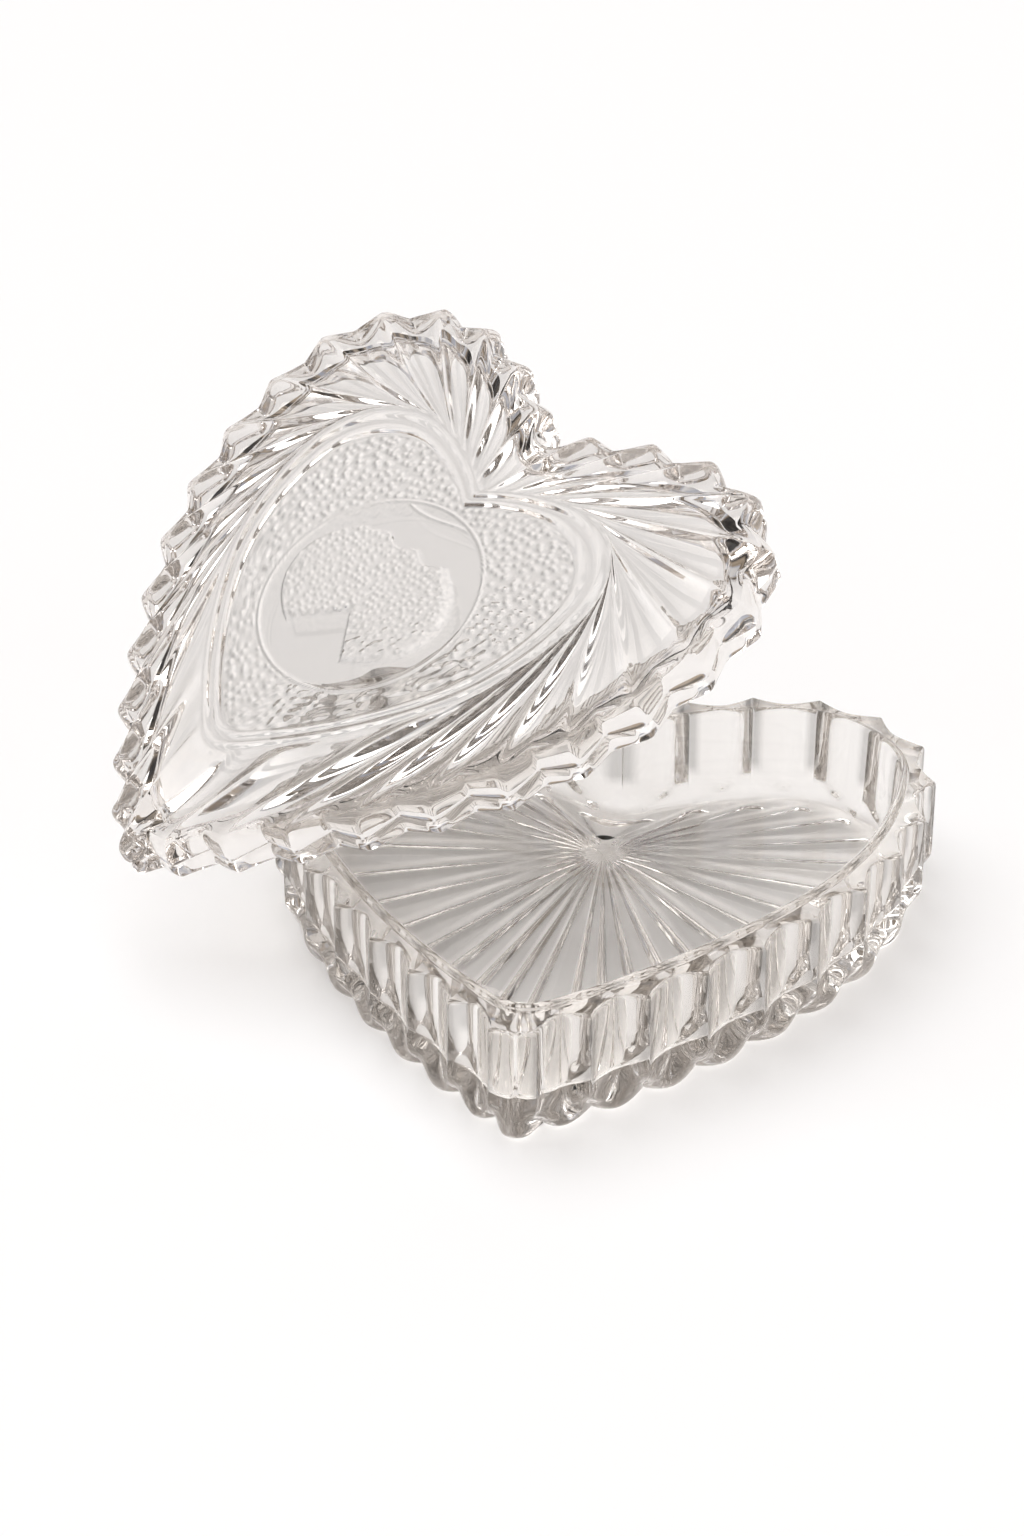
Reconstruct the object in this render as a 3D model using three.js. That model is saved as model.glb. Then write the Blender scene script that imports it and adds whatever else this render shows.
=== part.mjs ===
// A heart-shaped trinket box of clear pressed glass: a ribbed dish and a loose lid leaning on it.
// Millimetres, +Z up. The dish stands on z = 0 with its tip towards -Y and its notch towards +Y.
import * as THREE from 'three';

// ---- plan of the heart, right half from tip to notch, as a run of tangent arcs ----
const WIDTH = 115.0; // over the rib ridges
const ARCS = [ // radius in mm on the 115 mm box, and the heading in degrees at which the arc ends
  { r: 2.6, end: 36.1 }, // tip
  { r: 173.6, end: 57.0 }, // flank
  { r: 79.4, end: 93.3 }, // side
  { r: 26.2, end: 189.1 }, // shoulder of the lobe
];
const CROWN_R = 63.6; // last arc of the lobe, running down to the notch
const NOTCH_R = 2.0; // fillet in the notch
const RIBS = 31; // one on the tip, fifteen a side
const TIP_CROWD = 0.275; // the ribs draw together towards the tip by this share of their pitch
const STEPS = 4; // outline points per rib
const TIP_TRIM = 1.0; // the corner on the tip is ground back by this much
const SCALE = WIDTH / 115.0;

// ---- dish ----
const DISH_H = 21.6; // flat of the rim
const RIB_DEPTH = 2.9; // ridge to valley of the hollow flutes
const LOBE_H = 7.5; // height of the round lobes that close the flutes at the bottom
const LOBE_DEPTH = 2.4;
const WALL = 6.6; // rib ridge to inner wall at the rim
const WALL_DRAFT = 1.0; // inner wall leans in by this much down to the floor
const FLOOR_T = 5.0;
const FLOOR_FILLET = 1.6;
const LIP_H = 0.9; // raised inner lip of the rim
const LIP_W = 1.5;
const INNER_TIP_R = 7.0;
const HUB_Y = 29.0; // centre of the sunburst
const HUB_R = 2.6;
const RAY_CUT = 0.9; // depth of the rays pressed into the underside
const FOOT_INSET = 8.5; // the rays end this far inside the ridges

// ---- lid ----
const LID_SKIRT_H = 9.6; // lid rim to shoulder
const LID_TOP_H = 13.2; // lid rim to the top of the heart frame
const TIER_H = 3.4; // height of the small lower tier of the skirt
const PANEL_SINK = 1.1;
const FRAME_X = 0.578; // heart frame against the outline
const FRAME_Y = 0.573;
const BEAD_W = 0.035; // half width of the frame bead as a share of the outline
const PLATE_T = 4.6; // glass left over the lid's hollow
const LID_WALL = 7.6; // ridge to the hollow's wall
const LIP_GAP = 0.6; // lid's rebate clears the dish's lip by this much
const MEDAL_X = 20.0; // half width and half height of the oval medallion
const MEDAL_Y = 20.5;
const MEDAL_AT = 3.0; // its centre is this far towards the notch
const MEDAL_RISE = 0.5;

// ---- pose of the leaning lid ----
const LID_TURN = [28.2, 6.6, -37.7]; // degrees about x, then y, then z
const LID_X = -38.9;
const LID_Y = 25.1;
const LID_GAP = 0.45; // air left between the lid and the dish's rim, measured straight up
const RIM_SAMPLES = 8; // rays cast up per outline step when the lid is lowered onto the rim

const rad = (deg) => (deg * Math.PI) / 180;

/** Arc centres of the plan. Every inset of the plan shares them, so insets stay parallel. */
function planArcs() {
  let x = 0, y = 0, from = 0;
  const arcs = ARCS.map(({ r, end }) => {
    const R = r * SCALE, a = from, b = rad(end);
    const c = [x - R * Math.sin(a), y + R * Math.cos(a)];
    x = c[0] + R * Math.sin(b);
    y = c[1] - R * Math.cos(b);
    from = b;
    return { c, R, a, b };
  });
  const R = CROWN_R * SCALE, Rn = NOTCH_R * SCALE;
  const c = [x - R * Math.sin(from), y + R * Math.cos(from)];
  const b = Math.PI + Math.asin(c[0] / (R + Rn));
  arcs.push({ c, R, a: from, b });
  const cn = [0, c[1] - (R + Rn) * Math.cos(b)];
  arcs.push({ c: cn, R: -Rn, a: b, b: Math.PI });
  return arcs;
}
const PLAN = planArcs();
const at = (arc, R, t) => [arc.c[0] + R * Math.sin(t), arc.c[1] - R * Math.cos(t)];

/** Steps along the outline, closer near the tip, each as an arc number and a share of that arc. */
function ribStations() {
  const len = PLAN.map((s) => Math.abs(s.R * (s.b - s.a)));
  const total = len.reduce((p, q) => p + q, 0);
  const n = (RIBS * STEPS) / 2;
  return Array.from({ length: n + 1 }, (_, i) => {
    const u = i / n;
    let d = total * (u - TIP_CROWD * u * (1 - u) ** 3), k = 0;
    while (k < len.length - 1 && d > len[k]) d -= len[k++];
    return [k, Math.min(1, d / len[k])];
  });
}
const STATIONS = ribStations();

/** Tip arc of an inset outline: tangent to the inset flank, with its own radius. */
function tipArc(inset, tipR) {
  const f = PLAN[1], gap = f.R - inset - tipR;
  const cy = f.c[1] - Math.sqrt(gap * gap - f.c[0] * f.c[0]);
  return { c: [0, cy], R: tipR, a: 0, b: Math.atan2(-f.c[0], f.c[1] - cy) };
}

/** Right half of the outline moved in by inset(i), and centred front to back on the plan. */
function halfRing(inset, tipR) {
  const mid = PLAN_MID;
  return STATIONS.map(([k, share], i) => {
    const d = inset(i), tip = tipArc(d, tipR(d));
    if (k === 0) {
      const p = at(tip, tip.R, tip.b * share);
      return [p[0], p[1] - mid];
    }
    const s = PLAN[k], a = k === 1 ? tip.b : s.a;
    const p = at(s, s.R - d, a + (s.b - a) * share);
    return [Math.max(0, p[0]), p[1] - mid];
  });
}
const PLAN_MID = (() => {
  const top = PLAN[3].c[1] + PLAN[3].R;
  return top / 2;
})();

/** Full ring of points at height z: the right half, then its mirror image. */
function ring(inset, z, tipR = (d) => Math.max(PLAN[0].R - d, 0.8)) {
  const half = halfRing(inset, tipR);
  const left = half.slice(1, -1).reverse().map(([x, y]) => [-x, y]);
  return [...half, ...left].map(([x, y]) => [x, y, z]);
}
const flat = (inset) => () => inset;
const KNUCKLE = [0, 0.42, 1, 0.42]; // crest, face, valley, face of a lid rib
const FLUTE = [1, 0.69, 0, 0.69]; // valley, face, ridge, face of a dish flute
const LOBE = [0, 0.3, 1, 0.3]; // crest, side, notch, side of a lobe under a flute
const ribbed = (ridge, depth) => (i) => ridge + depth * KNUCKLE[i % STEPS] + (i ? 0 : TIP_TRIM);
const fluted = (ridge, depth) => (i) => ridge + (i > 1 ? depth * FLUTE[i % STEPS] : TIP_TRIM);
const lobed = (crest, depth) => (i) => crest + depth * LOBE[i % STEPS] + (i ? 0 : TIP_TRIM / 2);
const inner = (d) => Math.max(INNER_TIP_R - Math.max(0, d - WALL), 2);

/** Every point of a ring pulled towards a centre. */
const shrunk = (pts, sx, sy, cy, z) => pts.map(([x, y]) => [x * sx, cy + (y - cy) * sy, z]);

/** Points of an oval that keep the ring's bearing from its own centre. */
const oval = (pts, rx, ry, cy, z) => pts.map(([x, y]) => {
  const t = Math.atan2((x * ry) / rx, y - cy);
  return [rx * Math.sin(t), cy + ry * Math.cos(t), z];
});

/** Closed body skinned over rings from the centre of the underside out, over and back in. */
function skin(rings, first, last) {
  const n = rings[0].length, pos = rings.flat().flat(), idx = [];
  pos.push(...first, ...last);
  const base = rings.length * n;
  for (let j = 0; j < n; j++) {
    const k = (j + 1) % n;
    idx.push(base, k, j);
    for (let i = 0; i < rings.length - 1; i++) {
      const a = i * n, b = a + n;
      idx.push(a + j, a + k, b + k, a + j, b + k, b + j);
    }
    const e = base - n;
    idx.push(base + 1, e + j, e + k);
  }
  const g = new THREE.BufferGeometry();
  g.setAttribute('position', new THREE.Float32BufferAttribute(pos, 3));
  g.setIndex(idx);
  g.computeVertexNormals();
  return g;
}

/** Ring with a groove pressed up into it under every ridge of the dish. */
const grooved = (pts, cut) => pts.map(([x, y, z], j) => {
  const i = j <= STATIONS.length - 1 ? j : pts.length - j;
  return [x, y, z + (i % STEPS === 2 ? cut : 0)];
});

/** Rings over the rim: ridge tops, the flat, and the raised inner lip. */
function rimRings() {
  const H = DISH_H, lip = WALL - LIP_W;
  return [
    ring(fluted(0, RIB_DEPTH), H - 1.1),
    ring(fluted(0.7, RIB_DEPTH - 0.6), H),
    ring(flat(lip - 0.4), H, inner),
    ring(flat(lip + 0.1), H + LIP_H, inner),
    ring(flat(WALL - 0.3), H + LIP_H, inner),
  ];
}

function dishGeometry() {
  const H = DISH_H, hub = ring(flat(0), 0), hubY = HUB_Y * SCALE;
  const hubRing = oval(hub, HUB_R, HUB_R, hubY, 0);
  return skin([
    hubRing,
    grooved(shrunk(ring(flat(FOOT_INSET), 0, inner), 0.2, 0.2, hubY, 0), RAY_CUT),
    grooved(ring(flat(FOOT_INSET), 0, inner), RAY_CUT),
    ring(flat(FOOT_INSET - 1.2), 0, inner),
    ring(lobed(3.2, LOBE_DEPTH), 0),
    ring(lobed(2.1, LOBE_DEPTH * 0.8), 0.8),
    ring(lobed(1.6, LOBE_DEPTH * 0.4), 2.6),
    ring(lobed(1.7, -0.9), LOBE_H - 2.3),
    ring(fluted(0, RIB_DEPTH), LOBE_H),
    ...rimRings(),
    ring(flat(WALL), H + LIP_H - 0.4, inner),
    ring(flat(WALL + WALL_DRAFT), FLOOR_T + FLOOR_FILLET, inner),
    ring(flat(WALL + WALL_DRAFT + 0.5), FLOOR_T + 0.4, inner),
    ring(flat(WALL + WALL_DRAFT + FLOOR_FILLET), FLOOR_T, inner),
  ], [0, hubY, 0], [0, hubY, FLOOR_T]);
}

/** Heart frame of the lid at a share of its size, at height z. */
function frameRing(share, z) {
  const pts = ring(flat(0), z, () => 9);
  return shrunk(pts, FRAME_X * share, FRAME_Y * share, 0, z);
}

/** Ring part way from the shoulder to the frame, fluted by the ribs. */
function slopeRing(share, z, depth) {
  const out = ring(ribbed(2.4, depth), z), frame = frameRing(1 + BEAD_W * 2.2, z);
  return out.map(([x, y], j) => [
    x + (frame[j][0] - x) * share, y + (frame[j][1] - y) * share, z,
  ]);
}

function lidGeometry() {
  const top = LID_TOP_H, panel = top - PANEL_SINK, ceil = panel - PLATE_T;
  const rebate = WALL - LIP_W - LIP_GAP;
  const last = frameRing(1 - BEAD_W * 2.2, panel), rise = panel + MEDAL_RISE;
  const cy = MEDAL_AT * SCALE, rx = MEDAL_X * SCALE, ry = MEDAL_Y * SCALE;
  return skin([
    ring(flat(LID_WALL + 2.6), ceil, inner),
    ring(flat(LID_WALL + 0.8), ceil - 1.2, inner),
    ring(flat(LID_WALL), LIP_H + 0.5, inner),
    ring(flat(rebate), LIP_H + 0.5, inner),
    ring(flat(rebate), 0, inner),
    ring(ribbed(2.2, 1.2), 0),
    ring(ribbed(0.9, 1.9), 0.9),
    ring(ribbed(0.5, 2.2), TIER_H - 0.6),
    ring(ribbed(0.9, 2.1), TIER_H),
    ring(ribbed(0.1, 2.6), TIER_H + 0.9),
    ring(ribbed(0, 2.8), LID_SKIRT_H - 1.4),
    ring(ribbed(0.7, 2.5), LID_SKIRT_H - 0.3),
    ring(ribbed(2.4, 2.2), LID_SKIRT_H + 0.5),
    slopeRing(0.5, LID_SKIRT_H + 0.5 + (top - LID_SKIRT_H) * 0.4, 2.0),
    frameRing(1 + BEAD_W * 2.2, top - 0.8),
    frameRing(1 + BEAD_W, top),
    frameRing(1 - BEAD_W, top),
    last,
    oval(last, rx, ry, cy, panel),
    oval(last, rx - 1.2, ry - 1.2, cy, rise),
  ], [0, cy, ceil], [0, cy, rise]);
}

/** Height at which the turned lid rests LID_GAP above the rim, by rays cast up from it. */
function restHeight(lid) {
  const ray = new THREE.Raycaster(), up = new THREE.Vector3(0, 0, 1);
  let air = Infinity;
  lid.updateMatrixWorld();
  for (const rim of rimRings()) {
    for (let i = 0; i < rim.length * RIM_SAMPLES; i++) {
      const j = Math.floor(i / RIM_SAMPLES), share = (i % RIM_SAMPLES) / RIM_SAMPLES;
      const next = new THREE.Vector3(...rim[(j + 1) % rim.length]);
      ray.set(new THREE.Vector3(...rim[j]).lerp(next, share), up);
      const hit = ray.intersectObject(lid)[0];
      if (hit) air = Math.min(air, hit.distance);
    }
  }
  return lid.position.z - air + LID_GAP;
}

const GLASS = { color: 0xe9ecea, roughness: 0.05, metalness: 0 };
function mesh(name, geometry) {
  const m = new THREE.Mesh(geometry, new THREE.MeshStandardMaterial(GLASS));
  m.name = name;
  return m;
}

const dish = mesh('glass_dish', dishGeometry());
const lid = mesh('glass_lid', lidGeometry());
lid.rotation.set(...LID_TURN.map(rad), 'ZYX');
lid.position.set(LID_X * SCALE, LID_Y * SCALE, DISH_H + WIDTH);
lid.position.z = restHeight(lid);

const group = new THREE.Group();
group.add(dish, lid);
export default group;
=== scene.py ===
import bpy
import numpy as np
from mathutils import Euler, Matrix, Vector


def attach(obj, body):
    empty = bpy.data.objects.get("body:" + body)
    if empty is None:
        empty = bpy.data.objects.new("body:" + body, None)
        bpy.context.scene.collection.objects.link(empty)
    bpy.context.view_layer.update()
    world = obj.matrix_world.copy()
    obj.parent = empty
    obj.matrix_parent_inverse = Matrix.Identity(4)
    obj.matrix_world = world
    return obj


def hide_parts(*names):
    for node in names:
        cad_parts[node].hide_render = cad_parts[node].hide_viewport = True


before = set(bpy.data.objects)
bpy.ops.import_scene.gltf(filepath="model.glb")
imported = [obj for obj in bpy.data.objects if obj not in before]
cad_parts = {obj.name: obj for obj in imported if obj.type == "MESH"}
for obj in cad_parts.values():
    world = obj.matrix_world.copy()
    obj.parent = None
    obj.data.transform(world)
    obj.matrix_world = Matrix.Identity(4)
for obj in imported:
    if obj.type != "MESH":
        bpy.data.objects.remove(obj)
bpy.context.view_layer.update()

# ---------------------------------------------------------------------------------------------
# Glass dish. One pressing of clear glass: a heart-shaped wall with hollow flutes outside, each
# closed at the bottom by a round lobe, a smooth face inside, a flat rim with a rounded lip, and a
# floor with a sunburst of narrow rays pressed into its underside. Fire-polish softens every edge.
# ---------------------------------------------------------------------------------------------
MM = 0.001
PLAN_ARCS = ((2.6, 36.1), (173.6, 57.0), (79.4, 93.3), (26.2, 189.1))  # radius, end heading
CROWN_RADIUS = 63.6
NOTCH_RADIUS = 2.0
RIBS = 31
TIP_CROWD = 0.275
TIP_FACET = 0.2  # share of a rib each side of the tip that is ground to a facet
FLUTE_DEPTH = 2.9
FLUTE_ROUND = 1.7  # 1 would be a plain V, and more makes the valley rounder
LOBE_HEIGHT = 7.5
LOBE_UNDERCUT = 2.0
LOBE_NOTCH = 2.6
DISH_HEIGHT = 21.6
RIM_ROUND = 1.0
WALL = 6.6
DRAFT = 1.0
FLOOR_THICK = 5.0
FLOOR_FILLET = 1.6
LIP_RISE = 0.9
LIP_WIDTH = 1.5
INNER_TIP_RADIUS = 7.0
HUB_Y = 29.0
HUB_RADIUS = 2.6
HUB_BEAD = ((2.9, 0), (2.6, 0.12), (2.3, 0.2), (2.0, 0.12), (1.6, 0.02), (0.8, 0))  # radius, rise
RAY_CUT = 1.15
RAY_WIDTH = 0.30  # half width of a ray, as a share of half a rib
LAND_SAG = 0.10
FOOT_INSET = 8.5
DISH_COLUMNS_PER_RIB = 24


def heart_arcs():
    """Arc centres of the plan: each arc starts where the last ends, on the same heading."""
    arcs, x, y, start = [], 0.0, 0.0, 0.0
    for radius, end in PLAN_ARCS:
        end = np.radians(end)
        cx, cy = x - radius * np.sin(start), y + radius * np.cos(start)
        arcs.append((cx, cy, radius, start, end))
        x, y, start = cx + radius * np.sin(end), cy - radius * np.cos(end), end
    cx, cy = x - CROWN_RADIUS * np.sin(start), y + CROWN_RADIUS * np.cos(start)
    end = np.pi + np.arcsin(cx / (CROWN_RADIUS + NOTCH_RADIUS))
    arcs.append((cx, cy, CROWN_RADIUS, start, end))
    arcs.append((0.0, cy - (CROWN_RADIUS + NOTCH_RADIUS) * np.cos(end), -NOTCH_RADIUS, end, np.pi))
    return arcs


HEART = heart_arcs()
HEART_LENGTHS = np.array([abs(r * (b - a)) for _, _, r, a, b in HEART])
HEART_MIDDLE = (HEART[3][1] + HEART[3][2]) / 2
TIP_RADIUS = HEART[0][2]


def outer_tip(inset):
    """Tip radius of the outer face: the plan's own, less the inset, and never under 0.8 mm."""
    return np.maximum(TIP_RADIUS - inset, 0.8)


def inner_tip(inset):
    """Tip radius of the inner faces: 7 mm as far in as the wall, then less, down to 2 mm."""
    return np.maximum(INNER_TIP_RADIUS - np.maximum(0, inset - WALL), 2)


def heart(station, inset, tip_radius=None):
    """Plan point at a rib station (0 at the tip, 31 all round) moved in by inset. The stations
    draw together near the tip: share of the outline = u - 0.275 u (1 - u)^3. On the arc that
    holds the station x = cx + (R - inset) sin t and y = cy - (R - inset) cos t."""
    station, inset = np.broadcast_arrays(np.asarray(station, float), np.asarray(inset, float))
    half = np.where(station > RIBS / 2, RIBS - station, station)
    u = np.clip(half / (RIBS / 2), 0, 1)
    along = (u - TIP_CROWD * u * (1 - u) ** 3) * HEART_LENGTHS.sum()
    ends = np.cumsum(HEART_LENGTHS)
    arc = np.clip(np.searchsorted(ends, along, side="left"), 0, len(HEART) - 1)
    share = np.clip((along - (ends - HEART_LENGTHS)[arc]) / HEART_LENGTHS[arc], 0, 1)
    cx, cy, radius, start, end = (np.array([a[k] for a in HEART])[arc] for k in range(5))
    if tip_radius is None:
        tip_radius = outer_tip(inset)
    fx, fy, fr = HEART[1][:3]
    tip_y = fy - np.sqrt((fr - inset - tip_radius) ** 2 - fx ** 2)
    tip_end = np.arctan2(-fx, fy - tip_y)
    start = np.where(arc == 1, tip_end, start)
    heading = start + (end - start) * share
    r = radius - inset
    tip_heading = tip_end * share
    x = np.where(arc == 0, tip_radius * np.sin(tip_heading), cx + r * np.sin(heading))
    y = np.where(arc == 0, tip_y - tip_radius * np.cos(tip_heading), cy - r * np.cos(heading))
    x = np.maximum(x, 0) * np.where(station > RIBS / 2, -1, 1)
    return x, y - HEART_MIDDLE


def from_station(station):
    """Distance in ribs from the nearest whole station, 0 to 1/2."""
    return np.abs((station + 0.5) % 1 - 0.5)


def smooth(x, lo, hi):
    """0 below lo, 1 above hi, and 3t^2 - 2t^3 between."""
    t = np.clip((x - lo) / (hi - lo), 0, 1)
    return t * t * (3 - 2 * t)


def edge_angles(first, last, count):
    """Evenly spaced angles, given in degrees and returned in radians, for rounding an edge."""
    return np.radians(np.linspace(first, last, count))


def rib_columns(per_rib, gather):
    """Stations of the columns: evenly spaced, then drawn towards every crest and every valley by
    s - gather sin(4 pi s) / 4 pi."""
    s = np.arange(RIBS * per_rib) / per_rib
    return s - gather * np.sin(4 * np.pi * s) / (4 * np.pi)


def rib_phase(station):
    """Stations with the first fifth of a rib beside the tip flattened, so the tip is a facet."""
    d = np.minimum(station, RIBS - station)
    return np.where(d < 0.5, 0.5 * np.clip((d - TIP_FACET) / (0.5 - TIP_FACET), 0, 1), station)


def tip_trim(station):
    """How far the corner on the tip is ground back: 1 mm there, falling to 0 half a rib away."""
    return np.clip(1 - np.minimum(station, RIBS - station) / 0.5, 0, 1)


dish_station = rib_columns(DISH_COLUMNS_PER_RIB, 0.7)
dish_phase = rib_phase(dish_station)
ridge = from_station(dish_phase) * 2  # 0 in the valleys, at whole stations, and 1 on the ridges
beside_tip = np.minimum(dish_station, RIBS - dish_station) < 0.5
flute = np.where(beside_tip, tip_trim(dish_phase) / FLUTE_DEPTH, 1 - ridge ** FLUTE_ROUND)
lobe_notch = LOBE_NOTCH * (1 - np.abs(np.cos(np.pi * dish_phase)))  # 0 on the lobes' round crests
dish_ones = np.ones(len(dish_station))


def ring(inset, z, tip=None, station=dish_station):
    """One ring of the plan at height z, moved in by inset (a number, or one for each column)."""
    inset = np.broadcast_to(np.asarray(inset, float), station.shape)
    x, y = heart(station, inset, tip(inset) if tip else None)
    return np.stack([x, y, np.broadcast_to(np.asarray(z, float), x.shape)], -1)


def hub_ring(bearing, radius, z):
    """Circle round the hub, with a point on each column's bearing from it."""
    return np.stack([radius * np.sin(bearing), HUB_Y - radius * np.cos(bearing),
                     np.full(len(bearing), float(z))], -1)


def hub_bearing(points):
    """Bearing of each point from the hub, 0 towards the tip: atan2(x, hub y - y)."""
    return np.arctan2(points[:, 0], HUB_Y - points[:, 1])


def ray_ring(share):
    """Underside at a share of the way from hub to foot. Every half station has a narrow ray, a
    rounded V cut rising into the floor, and the wide lands between sag a little."""
    foot = ring(FOOT_INSET, 0.0, inner_tip)
    hub = hub_ring(hub_bearing(foot), HUB_RADIUS, 0.0)
    off_ray = 1 - from_station(dish_station) * 2
    ray = np.clip(1 - (off_ray / RAY_WIDTH) ** 1.5, 0, 1)
    fade = smooth(share, 0.0, 0.05) * (1 - smooth(share, 0.97, 1.0))
    points = hub + (foot - hub) * share
    points[:, 2] = fade * (RAY_CUT * ray + LAND_SAG * (1 - off_ray) ** 2)
    return points


def lobe_ring(angle):
    """Ring of the lobes at an angle up their round underside: z = height (1 - cos a). The crests
    roll in below by 2 (1 - sin a)^1.3, the notches close upwards, and both blend into flutes."""
    z = LOBE_HEIGHT * (1 - np.cos(angle))
    crest = 1.5 + LOBE_UNDERCUT * (1 - np.sin(angle)) ** 1.3 + 0.6 * smooth(z, 4.0, LOBE_HEIGHT)
    blend = smooth(z, 1.8, LOBE_HEIGHT)
    lobed = crest + lobe_notch * (1 - z / LOBE_HEIGHT) ** 0.8
    return ring(lobed * (1 - blend) + FLUTE_DEPTH * flute * blend, z,
                lambda inset: TIP_RADIUS * (1 - blend) + outer_tip(inset) * blend)


def closed_skin(name, rows, first, last, painted_light):
    """Closed mesh over rows of points (rows x columns x 3, in mm), each row a ring, with a fan to
    one point at each end. The first ring is on the underside, and rows run out, over and in.
    The attribute "painted_light" is painted shade and painted highlight: it scales the glass colour
    at each point."""
    count, around = rows.shape[:2]
    points = np.vstack([rows.reshape(-1, 3), [first], [last]]) * MM
    j = np.arange(around)
    k = (j + 1) % around
    i = np.arange(count - 1)[:, None] * around
    quads = np.stack([i + j, i + k, i + around + k, i + around + j], axis=-1).reshape(-1, 4)
    a, b = count * around, count * around + 1
    top = (count - 1) * around
    fans = np.vstack([np.stack([np.full(around, a), k, j], 1),
                      np.stack([np.full(around, b), top + j, top + k], 1)])
    mesh = bpy.data.meshes.new(name)
    mesh.from_pydata(points.tolist(), [], quads.tolist() + fans.tolist())
    mesh.validate()
    mesh.polygons.foreach_set("use_smooth", np.ones(len(mesh.polygons), bool))
    layer = mesh.attributes.new("painted_light", "FLOAT", "POINT")
    layer.data.foreach_set("value", np.r_[painted_light.ravel(), painted_light[0, 0], painted_light[-1, 0]])
    mesh.update()
    piece = bpy.data.objects.new(name, mesh)
    bpy.context.collection.objects.link(piece)
    return piece


# Underside, from the hub out along the rays to the foot, then up the lobes.
dish_rows = [ray_ring(s) for s in np.r_[0, 0.02, 0.04, 0.07, np.linspace(0.12, 0.97, 16), 0.985, 1]]
dish_rows.append(ring(FOOT_INSET - 1.2, 0, inner_tip))
dish_rows += [lobe_ring(a) for a in edge_angles(4, 90, 18)]
painted_light_rows = [dish_ones] * len(dish_rows)

# Fluted wall. Painted shade in the glass colour darkens its ridges, so they read as darker bands.
for z in (9.5, 12, 15, 18, DISH_HEIGHT - RIM_ROUND):
    dish_rows.append(ring(FLUTE_DEPTH * flute, z))
    painted_light_rows.append(1 - 0.30 * smooth(ridge, 0.66, 0.88))

# Rim with its rounded outer edge and raised inner lip, the inner wall, and the floor's fillet.
for a in np.radians([25, 50, 70, 90]):
    roll = 1 - np.cos(a)
    dish_rows.append(ring(0.8 * roll + (FLUTE_DEPTH - 0.6 * roll) * flute,
                          DISH_HEIGHT - RIM_ROUND * (1 - np.sin(a))))
dish_rows.append(ring(WALL - LIP_WIDTH - 0.5, DISH_HEIGHT, inner_tip))
for a in edge_angles(0, 180, 9):
    dish_rows.append(ring(WALL - LIP_WIDTH / 2 - LIP_WIDTH / 2 * np.cos(a),
                          DISH_HEIGHT + LIP_RISE * np.sin(a), inner_tip))
for s in np.linspace(0.12, 1, 6):
    dish_rows.append(ring(WALL + DRAFT * s,
                          DISH_HEIGHT + (FLOOR_THICK + FLOOR_FILLET - DISH_HEIGHT) * s, inner_tip))
for a in edge_angles(15, 90, 6):
    dish_rows.append(ring(WALL + DRAFT + FLOOR_FILLET * (1 - np.cos(a)),
                          FLOOR_THICK + FLOOR_FILLET * (1 - np.sin(a)), inner_tip))
painted_light_rows += [dish_ones] * (len(dish_rows) - len(painted_light_rows))

# Upper face of the floor, in to the hub's small bead. Painted shade darkens the lands between the
# rays, standing for the dish's shadow seen through the floor, and painted highlight lightens the
# rays.
floor_edge = dish_rows[-1]
for s in np.linspace(0.92, 0.12, 9):
    dish_rows.append(np.column_stack([floor_edge[:, 0] * s,
                                      HUB_Y + (floor_edge[:, 1] - HUB_Y) * s,
                                      np.full(len(dish_station), FLOOR_THICK)]))
    painted_light_rows.append(0.80 + 0.22 * np.clip(1.3 - (1 - ridge) / RAY_WIDTH, 0, 1)
                 + 0.03 * np.sin(dish_station * 2.3))
# The hub's bead is lighter than the plain glass: painted highlight.
for radius, rise in HUB_BEAD:
    dish_rows.append(hub_ring(hub_bearing(floor_edge), radius, FLOOR_THICK + rise))
    painted_light_rows.append(1.04 * dish_ones)
dish = closed_skin("dish_glass", np.array(dish_rows), [0, HUB_Y, 0], [0, HUB_Y, FLOOR_THICK],
                   np.array(painted_light_rows))


def clear_glass(name, tint, shade):
    """Smooth glass of index 1.5 with a faint tint, scaled by the attribute "painted_light", the
    painted shade and highlight. Lamps shine through it at a share of their light, because pressed
    glass throws a pale shadow."""
    mat = bpy.data.materials.new(name)
    mat.use_nodes = True
    nt = mat.node_tree
    nt.nodes.clear()
    out = nt.nodes.new("ShaderNodeOutputMaterial")
    glass = nt.nodes.new("ShaderNodeBsdfGlass")
    painted_light = nt.nodes.new("ShaderNodeAttribute")
    painted_light.attribute_name = "painted_light"
    tint_times_painted_light = nt.nodes.new("ShaderNodeVectorMath")
    tint_times_painted_light.operation = "SCALE"
    tint_times_painted_light.inputs[0].default_value = tint
    nt.links.new(painted_light.outputs["Fac"], tint_times_painted_light.inputs["Scale"])
    nt.links.new(tint_times_painted_light.outputs[0], glass.inputs["Color"])
    glass.inputs["Roughness"].default_value = 0.0
    glass.inputs["IOR"].default_value = 1.5
    clear = nt.nodes.new("ShaderNodeBsdfTransparent")
    clear.inputs["Color"].default_value = (*shade, 1)
    path = nt.nodes.new("ShaderNodeLightPath")
    mix = nt.nodes.new("ShaderNodeMixShader")
    nt.links.new(path.outputs["Is Shadow Ray"], mix.inputs[0])
    nt.links.new(glass.outputs[0], mix.inputs[1])
    nt.links.new(clear.outputs[0], mix.inputs[2])
    nt.links.new(mix.outputs[0], out.inputs["Surface"])
    return mat


DISH_TINT = (0.974, 0.966, 0.957)
DISH_SHADE = (0.63, 0.62, 0.61)
dish.data.materials.append(clear_glass("dish_clear_glass", DISH_TINT, DISH_SHADE))
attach(dish, "dish")
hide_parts("glass_dish")

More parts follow.
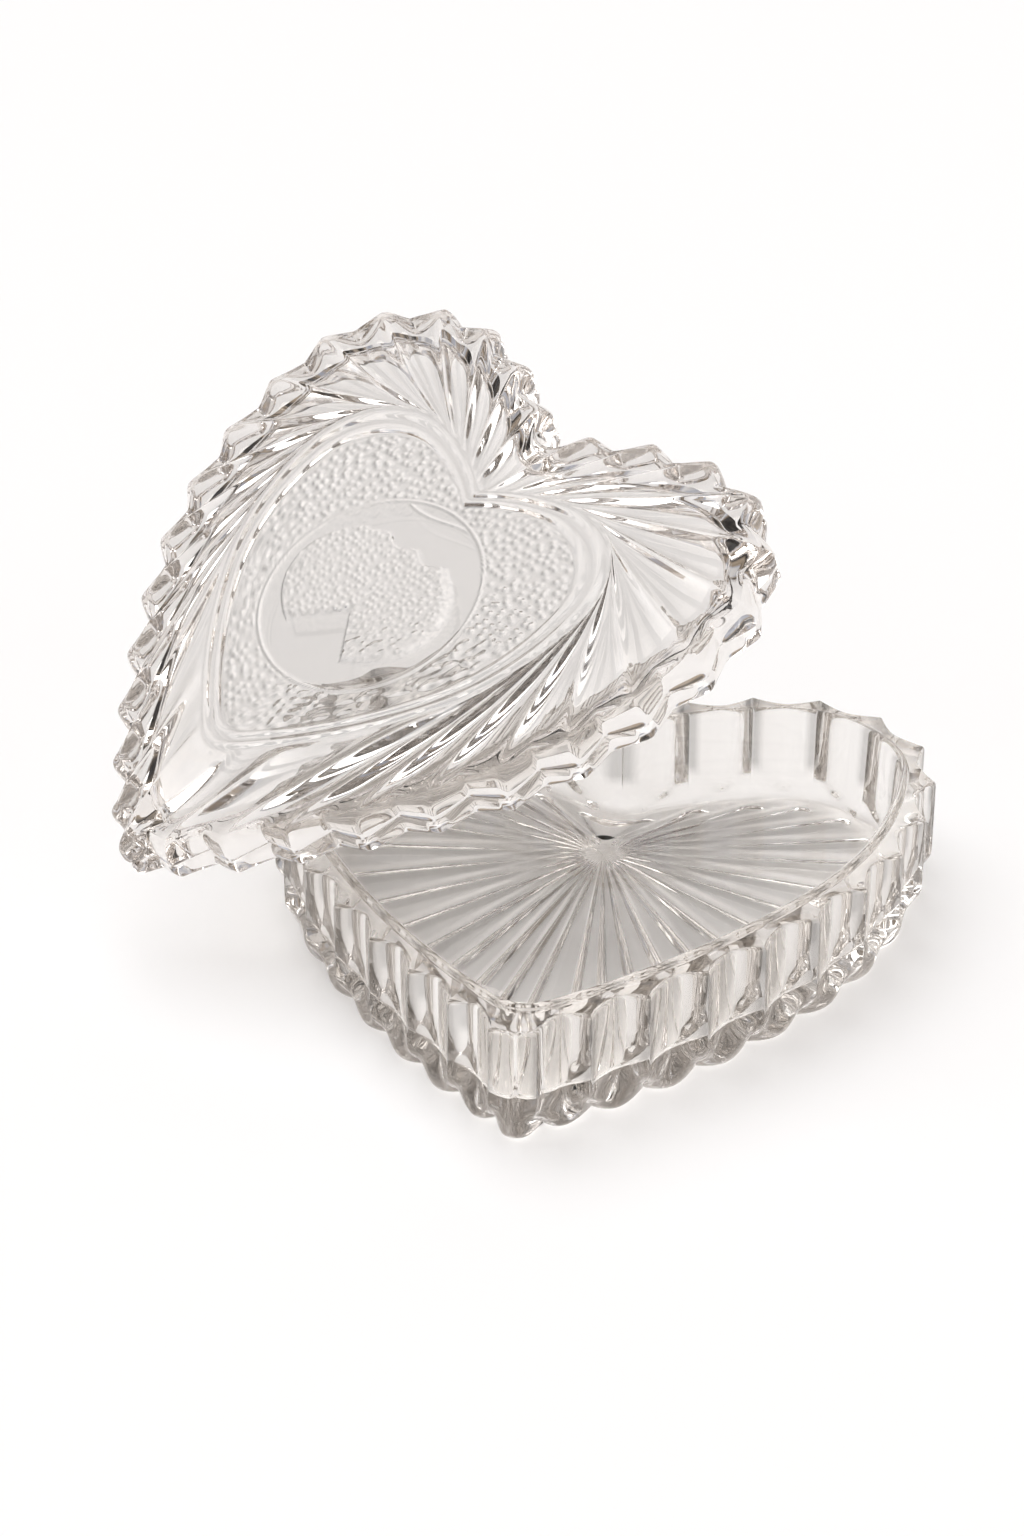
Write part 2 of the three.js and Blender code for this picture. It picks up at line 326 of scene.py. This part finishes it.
# ---------------------------------------------------------------------------------------------
# Glass lid. A second pressing in the same heart plan: a scalloped skirt in two tiers, flutes that
# sweep in like feathers to a heart-shaped double bead, and a sunk stippled panel with an oval
# medallion. It is loose, and leans on the left side of the dish's rim.
# ---------------------------------------------------------------------------------------------
LID_TURN = (28.2, 6.6, -37.7)  # degrees about x, then y, then z
LID_PLACE = (-38.9, 25.1, 42.1925)
LID_COLUMNS_PER_RIB = 18
SKIRT_HEIGHT = 9.6
LID_HEIGHT = 13.2
TIER = 3.4
SHOULDER = SKIRT_HEIGHT + 0.5
KNUCKLE_SHARP = 0.985
PANEL_SINK = 1.1
FRAME_X, FRAME_Y = 0.578, 0.573
FRAME_TIP_RADIUS = 9.0
FRAME_FOOT = LID_HEIGHT - 0.9
FRAME_ROLL = 0.6
FLUTE_SWEEP = 5.4  # ribs
PLATE_THICK = 4.6
LID_WALL = 7.6
HOLLOW_FILLET = 2.2
LIP_CLEARANCE = 0.6
MEDAL_X, MEDAL_Y, MEDAL_AT = 20.0, 20.5, 3.0

lid_station = rib_columns(LID_COLUMNS_PER_RIB, 0.4)
lid_phase = rib_phase(lid_station)
lid_ones = np.ones(len(lid_station))


def soft_wave(station):
    """0 at whole stations and 1 half way between: a triangle wave with both corners rounded,
    1/2 - asin(k cos 2 pi s) / (2 asin k). The nearer k is to 1, the sharper the corners."""
    k = KNUCKLE_SHARP
    return 0.5 - np.arcsin(k * np.cos(2 * np.pi * station)) / (2 * np.arcsin(k))


knuckle = soft_wave(lid_phase)
feather = np.exp(-(from_station(lid_phase) / 0.15) ** 2)  # 1 on each crest
vane = np.exp(-((from_station(lid_phase) - 0.5) / 0.10) ** 2)  # 1 in each channel


def skirt_ring(crest, depth, z):
    """Ring of the skirt: inset = crest + depth x wave, with the rib on the tip ground back."""
    return ring(crest + depth * knuckle + tip_trim(lid_phase), z, station=lid_station)


def hollow_ring(inset, z):
    """Ring of the smooth hollow under the lid."""
    return ring(inset, z, inner_tip, lid_station)


def frame_heart(station, share):
    """The heart frame: the plan with a blunt tip, shrunk to the frame's size."""
    x, y = heart(station, np.zeros_like(station), FRAME_TIP_RADIUS)
    return np.stack([x * FRAME_X * share, y * FRAME_Y * share], -1)


def swept_station(station):
    """Where a flute that leaves the shoulder at a station meets the frame: further towards the
    notch by up to 5.4 ribs on the flanks, and by none at the tip and in the notch."""
    half = np.where(station > RIBS / 2, RIBS - station, station)
    half = half + FLUTE_SWEEP * smooth(half, 0, 3.2) * np.clip((RIBS / 2 - half) / 12.3, 0, 1)
    return np.where(station > RIBS / 2, RIBS - half, half)


lid_swept = swept_station(lid_station)
shoulder = skirt_ring(2.2, 2.0, SHOULDER)
bend = frame_heart(lid_station + (lid_swept - lid_station) * 0.35, 1.30)
landing = frame_heart(lid_swept, 1.085)


def flute_ring(t):
    """Slope ring: a quadratic curve from shoulder to frame that arrives along the frame. A
    narrow rounded rib stands on each crest, with a finer one in the channel between."""
    xy = (1 - t) ** 2 * shoulder[:, :2] + 2 * t * (1 - t) * bend + t * t * landing
    z = SHOULDER + (FRAME_FOOT - SHOULDER) * (1 - (1 - t) ** 1.5)
    away = smooth(t, 0, 0.12)
    dip = 1.6 * (1 - t) ** 0.6 * away * knuckle
    rib = 0.9 * away * (1 - t) ** 0.35 * feather + 0.4 * away * (1 - t) ** 0.5 * vane
    return np.column_stack([xy, z - dip + rib * smooth(1 - t, 0, 0.1)])


def bead(share):
    """Height of the double bead across the frame: two rounded rolls with a groove between,
    rise = 0.6 cos^2(pi (|s| - 1/2)), and a step down to the panel inside them."""
    s = (share - 1.0) / 0.075
    rolls = np.cos(np.pi * np.clip(np.abs(s) - 0.5, -0.5, 0.5)) ** 2
    return FRAME_FOOT + FRAME_ROLL * rolls - (FRAME_FOOT - LID_HEIGHT + PANEL_SINK) * (s < -0.95)


def pebbles(x, y, pitch, size):
    """Rounded bumps, one in each cell of a jittered grid: the sum over the nine nearest cells of
    exp(-(distance / size)^2), with each bump's place and height fixed by its cell's number."""
    total = np.zeros_like(x)
    cx, cy = np.floor(x / pitch), np.floor(y / pitch)
    for i in (-1, 0, 1):
        for j in (-1, 0, 1):
            a, b = cx + i, cy + j
            jitter = np.sin(a * 127.1 + b * 311.7) * 43758.5453
            other = np.sin(a * 269.5 + b * 183.3) * 24634.6345
            jx, jy = jitter - np.floor(jitter), other - np.floor(other)
            dx, dy = x - (a + 0.15 + 0.7 * jx) * pitch, y - (b + 0.15 + 0.7 * jy) * pitch
            total += (0.5 + 0.5 * jy) * np.exp(-(dx * dx + dy * dy) / size ** 2)
    return total


def raised_field(x, y):
    """Share of full height on the medallion's raised field: an oval with a wavy upper edge, a
    wide bevel on its right and a notch cut up into its lower edge. Each edge's slope is smoothed
    over its bevel, and the three are combined by their minimum."""
    side = (1 - np.hypot((x + 0.3) / 17.8, (y - 2.5) / 13.8)) * 15.5
    top = 13.8 + 0.75 * np.sin(x * 0.85 + 1.4) - y
    notch = np.where(x < 0, y + 2.2 - 0.85 * x, y + 2.2 + 1.28 * x) * 0.72
    side_bevel = 0.5 + 1.9 * smooth(x, 4, 10)
    notch_bevel = np.where(x < 0, 1.7, 0.6)
    raised = np.minimum(smooth(side, 0, side_bevel), smooth(top, 0, 0.6))
    return np.minimum(raised, smooth(notch, 0, notch_bevel))


def relief(x, y):
    """Height over the panel: coarse pebbles outside an oval line, a smooth border inside it, a
    raised field with fine pebbles, and a thin line along the top of the oval."""
    r = np.hypot(x / MEDAL_X, (y - MEDAL_AT) / MEDAL_Y)
    height = 0.46 * pebbles(x, y, 1.6, 0.50) * smooth(r, 1.02, 1.05)
    height += 0.28 * np.exp(-((r - 1) / 0.014) ** 2)
    height += raised_field(x, y) * (0.6 + 0.26 * pebbles(x + 40, y + 40, 1.3, 0.40))
    line = y - (21.4 + 0.9 * np.sin(x * 0.28))
    return height + 0.22 * np.exp(-(line / 0.3) ** 2) * (np.abs(x) < 10) * (r < 0.97)


# Hollow underside, then the rebate that fits over the dish's lip.
panel_z = LID_HEIGHT - PANEL_SINK
ceiling = panel_z - PLATE_THICK
rebate = WALL - LIP_WIDTH - LIP_CLEARANCE
lid_rows = [hollow_ring(LID_WALL + 2.6, ceiling) * [s, s, 1] for s in (0.06, 0.3, 0.6, 0.9)]
# The hollow's ceiling is a little darker: painted shade.
painted_light_rows = [0.98 * lid_ones] * len(lid_rows)
for a in edge_angles(0, 90, 6):
    lid_rows.append(hollow_ring(LID_WALL + HOLLOW_FILLET * (1 - np.sin(a)),
                                ceiling - HOLLOW_FILLET * (1 - np.cos(a))))
lid_rows.append(hollow_ring(LID_WALL, LIP_RISE + 0.5))
lid_rows.append(hollow_ring(rebate, LIP_RISE + 0.5))
lid_rows.append(hollow_ring(rebate, 0.1))
lid_rows.append(hollow_ring(rebate - 0.15, 0))

# Skirt: a small lower tier with rounded knuckles, a groove, and the tall upper tier.
for a in edge_angles(0, 90, 6):
    lid_rows.append(skirt_ring(0.4 + 1.8 * (1 - np.sin(a)), 2.6 - 1.2 * (1 - np.sin(a)),
                               2.2 * (1 - np.cos(a))))
for a in edge_angles(25, 90, 4):
    lid_rows.append(skirt_ring(0.4 + 1.5 * (1 - np.cos(a)), 2.6, 2.2 + (TIER - 1.8) * np.sin(a)))
for a in edge_angles(75, 10, 4):
    lid_rows.append(skirt_ring(1.8 * (1 - np.cos(a)), 3.2 - 0.8 * (1 - np.cos(a)),
                               TIER + 0.4 + 2.2 * (1 - np.sin(a))))
for a in edge_angles(0, 82, 8):
    lid_rows.append(skirt_ring(2.4 * (1 - np.cos(a)), 3.2 - 1.0 * (1 - np.cos(a)),
                               SKIRT_HEIGHT - 2.8 + 3.2 * np.sin(a)))
# The hollow's sides, the rebate and the skirt are lighter than the rest of the lid: painted
# highlight.
painted_light_rows += [1.08 * lid_ones] * (len(lid_rows) - len(painted_light_rows))

# Feather flutes up to the frame, then the frame's double bead.
for t in np.linspace(0.0, 1.0, 24):
    lid_rows.append(flute_ring(t))
    # Painted highlight on the flutes' crests and channel ribs, and painted shade in their dips.
    painted_light_rows.append(0.93 + 0.12 * feather + 0.07 * vane - 0.05 * knuckle)
for share in np.linspace(1.07, 0.925, 14):
    lid_rows.append(np.column_stack([frame_heart(lid_swept, share), bead(share) * lid_ones]))
    # Painted highlight on the tops of the bead's rolls, and painted shade in the groove and where
    # it steps down to the panel.
    painted_light_rows.append((0.86 + 0.15 * (bead(share) - FRAME_FOOT) / FRAME_ROLL) * lid_ones)

# Stippled panel and medallion, shaded by their slope so that the relief reads in clear glass.
inner_frame = frame_heart(lid_swept, 0.92)
for s in np.r_[1.0, 0.985, np.linspace(0.97, 0.02, 92)]:
    x, y = inner_frame[:, 0] * s, MEDAL_AT + (inner_frame[:, 1] - MEDAL_AT) * s
    height = relief(x, y)
    slope = (relief(x + 0.12, y + 0.2) - height) / 0.23
    lid_rows.append(np.column_stack([x, y, panel_z + height * smooth(1 - s, 0.01, 0.04)]))
    painted_light_rows.append(np.clip(0.885 - 0.52 * slope, 0.52, 1.09))

lid_matrix = np.array(Matrix.Translation(Vector(LID_PLACE)) @
                      Euler(np.radians(LID_TURN).tolist(), "XYZ").to_matrix().to_4x4())
lid_axes, lid_shift = lid_matrix[:3, :3], lid_matrix[:3, 3]
lid = closed_skin("lid_glass", np.array(lid_rows) @ lid_axes.T + lid_shift,
                  lid_axes @ [0, 0, ceiling] + lid_shift,
                  lid_axes @ [0, MEDAL_AT, panel_z + 0.6] + lid_shift, np.array(painted_light_rows))
# A faint tint of the glass, darkened further by painted shade, so the lid's glass is darker than
# the dish's.
LID_TINT_AND_PAINTED_SHADE = (0.903, 0.892, 0.882)
LID_SHADE = (0.70, 0.692, 0.685)
lid.data.materials.append(clear_glass("lid_clear_glass", LID_TINT_AND_PAINTED_SHADE, LID_SHADE))
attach(lid, "lid")
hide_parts("glass_lid")

# ---------------------------------------------------------------------------------------------
# Table, light and camera. A seamless pale table, one large soft lamp above and behind, and a
# plain room round it whose darker sides give the clear glass its grey edges.
# ---------------------------------------------------------------------------------------------
TABLE_REACH = 40.0  # metres each way
TABLE_DROP = -0.0002  # keeps the table's face and the foot's from lying in one plane
LAMP_STRENGTH = 2.36
LAMP_SPREAD = 55  # degrees across
LAMP_AIM = (0.35, -0.25, -1)
ROOM_TONES = ((0.36, (0.03, 0.028, 0.028)), (0.42, (0.20, 0.17, 0.14)), (0.47, (0.48, 0.39, 0.30)),
              (0.53, (0.42, 0.45, 0.54)), (0.58, (0.72, 0.71, 0.71)), (0.62, (1.0, 1.0, 1.02)))
CAMERA_AT = (88.36, -517.28, 332.99)
CAMERA_LOOK = (-0.16413, 0.85496, -0.49205)
LENS = 127.5
LIGHT_BOUNCES = 24

corners = ((-1, -1), (1, -1), (1, 1), (-1, 1))
table_mesh = bpy.data.meshes.new("table_top")
table_mesh.from_pydata([(x * TABLE_REACH, y * TABLE_REACH, 0) for x, y in corners],
                       [], [(0, 1, 2, 3)])
table_top = bpy.data.objects.new("table_top", table_mesh)
bpy.context.collection.objects.link(table_top)
table_top.location.z = TABLE_DROP
white = bpy.data.materials.new("white_table")
white.use_nodes = True
white.node_tree.nodes["Principled BSDF"].inputs["Base Color"].default_value = (0.9, 0.9, 0.9, 1)
white.node_tree.nodes["Principled BSDF"].inputs["Roughness"].default_value = 0.9
table_mesh.materials.append(white)

sun = bpy.data.lights.new("big_soft_lamp", "SUN")
sun.energy = LAMP_STRENGTH
sun.angle = np.radians(LAMP_SPREAD)
lamp = bpy.data.objects.new("big_soft_lamp", sun)
lamp.visible_glossy = False
lamp.rotation_euler = Vector(LAMP_AIM).to_track_quat("-Z", "Y").to_euler()
bpy.context.collection.objects.link(lamp)

room = bpy.data.worlds.new("room")
bpy.context.scene.world = room
room.use_nodes = True
nt = room.node_tree
nt.nodes.clear()
out = nt.nodes.new("ShaderNodeOutputWorld")
sky = nt.nodes.new("ShaderNodeBackground")
coord = nt.nodes.new("ShaderNodeTexCoord")
walls = nt.nodes.new("ShaderNodeTexNoise")
walls.inputs["Scale"].default_value = 2.6
walls.inputs["Detail"].default_value = 1.0
ramp = nt.nodes.new("ShaderNodeValToRGB")
nt.links.new(coord.outputs["Generated"], walls.inputs["Vector"])
nt.links.new(walls.outputs["Fac"], ramp.inputs[0])
nt.links.new(ramp.outputs[0], sky.inputs["Color"])
nt.links.new(sky.outputs[0], out.inputs["Surface"])
sky.inputs["Strength"].default_value = 1.0
stops = ramp.color_ramp.elements
for stop, (at, colour) in zip(stops, (ROOM_TONES[0], ROOM_TONES[-1])):
    stop.position, stop.color = at, (*colour, 1)
for at, colour in ROOM_TONES[1:-1]:
    stops.new(at).color = (*colour, 1)

scene = bpy.context.scene
scene.view_settings.view_transform = "Standard"
scene.cycles.max_bounces = LIGHT_BOUNCES
scene.cycles.transmission_bounces = LIGHT_BOUNCES
scene.cycles.transparent_max_bounces = LIGHT_BOUNCES
scene.cycles.glossy_bounces = 16

cam_data = bpy.data.cameras.new("camera")
cam_data.sensor_fit = "HORIZONTAL"
cam_data.sensor_width = 36.0
cam_data.lens = LENS
camera = bpy.data.objects.new("camera", cam_data)
camera.location = Vector(CAMERA_AT) * MM
camera.rotation_euler = Vector(CAMERA_LOOK).to_track_quat("-Z", "Y").to_euler()
bpy.context.collection.objects.link(camera)
scene.camera = camera

bpy.context.view_layer.update()
